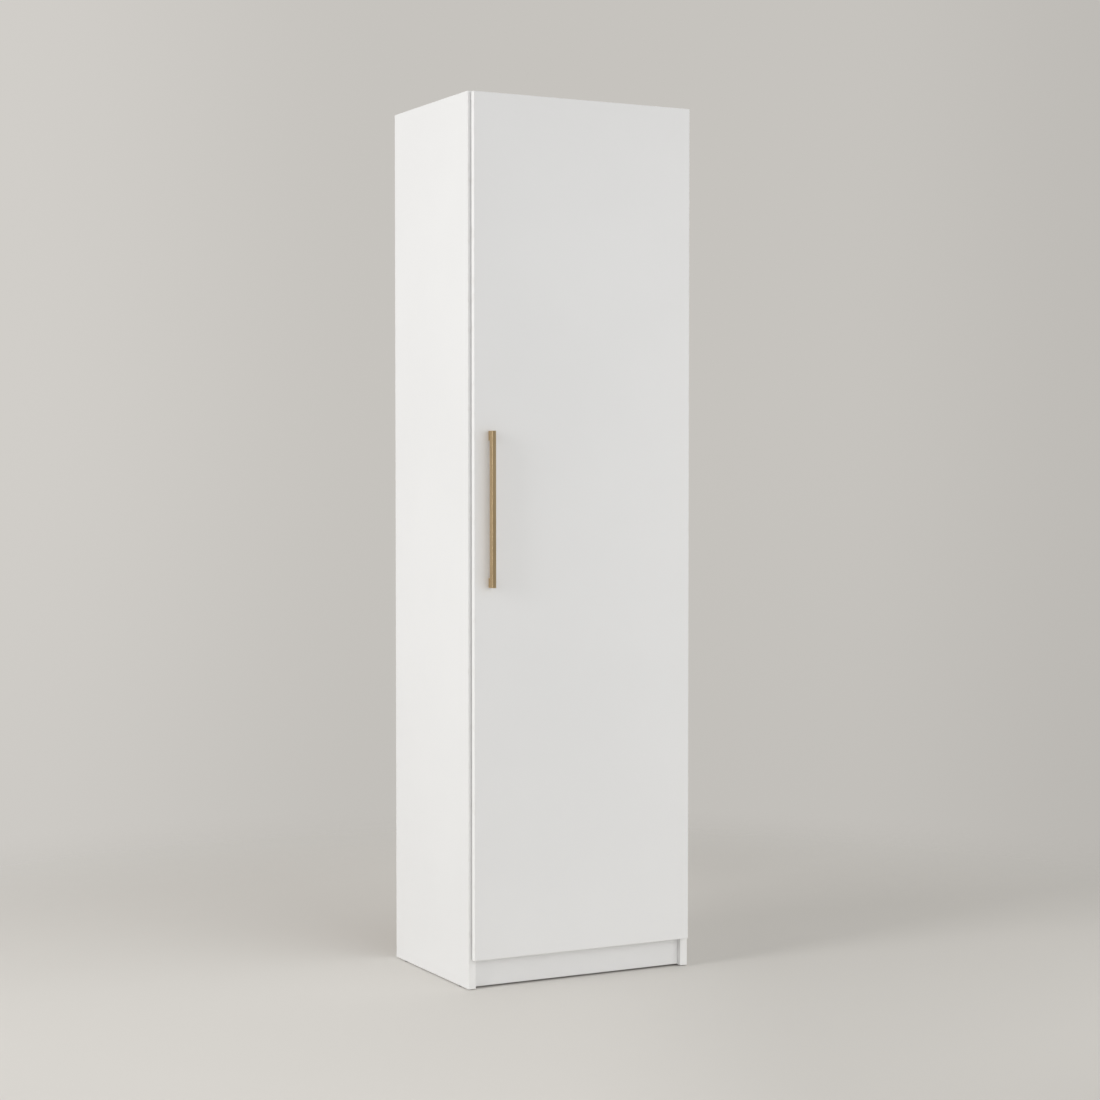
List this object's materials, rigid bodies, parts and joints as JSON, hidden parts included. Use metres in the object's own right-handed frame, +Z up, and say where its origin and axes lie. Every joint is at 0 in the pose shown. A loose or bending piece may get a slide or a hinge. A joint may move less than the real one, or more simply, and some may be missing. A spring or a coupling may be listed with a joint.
{
  "type": "broom cupboard",
  "caption": "Tall narrow white cupboard with one overlay door on concealed hinges, a slim brass bar handle, a fixed top shelf above a broom space, and a recessed plinth.",
  "frame": {"origin": "on the floor, midway across the width and midway between the back edges and the front of the handle", "axes": "+X to the right as seen from the front, +Y towards the back, +Z up"},
  "size_m": [0.5, 0.3848, 1.76],
  "materials": {
    "white_board": "chipboard faced and edged in smooth matt white melamine",
    "white_hardboard": "thin hardboard with a white printed face",
    "zinc": "die-cast zinc, left plain",
    "steel": "bright zinc-plated steel",
    "nickel": "nickel-plated steel, satin",
    "beech": "plain fluted beech",
    "grey_plastic": "dark moulded plastic",
    "white_plastic": "white moulded plastic",
    "clear_rubber": "soft translucent silicone",
    "magnet": "dark sintered ferrite",
    "brass": "satin brushed, slightly aged"
  },
  "bodies": {
    "carcass": {"left_side": "white_board", "right_side": "white_board", "top_panel": "white_board", "bottom_panel": "white_board", "fixed_shelf": "white_board", "front_plinth": "white_board", "rear_plinth": "white_board", "back_panel": "white_hardboard", "cam_locks": "zinc", "cam_bolts": "steel", "dowels": "beech", "back_screws": "steel", "bracket_screws": "steel", "catch_screws": "steel", "plate_screws": "steel", "arm_screws": "steel", "floor_glides": "grey_plastic", "left_wall_bracket": "steel", "right_wall_bracket": "steel", "door_buffers": "clear_rubber", "catch_housing": "white_plastic", "catch_magnet": "magnet", "hinge_1_plate": "nickel", "hinge_1_arm": "nickel", "hinge_2_plate": "nickel", "hinge_2_arm": "nickel", "hinge_3_plate": "nickel", "hinge_3_arm": "nickel", "hinge_4_plate": "nickel", "hinge_4_arm": "nickel"},
    "door": {"door_panel": "white_board", "handle_bar": "brass", "handle_upper_post": "brass", "handle_lower_post": "brass", "handle_screws": "steel", "strike_plate": "steel", "strike_screws": "steel", "cup_screws": "steel", "hinge_1_cup": "nickel", "hinge_1_pin": "steel", "hinge_2_cup": "nickel", "hinge_2_pin": "steel", "hinge_3_cup": "nickel", "hinge_3_pin": "steel", "hinge_4_cup": "nickel", "hinge_4_pin": "steel"}
  },
  "joints": [
    {"name": "door_swing", "type": "hinge", "parent": "carcass", "child": "door", "pos_m": [0.23755, -0.167, 0.909], "axis": [0, 0, 1], "range_deg": [0, 95]}
  ]
}
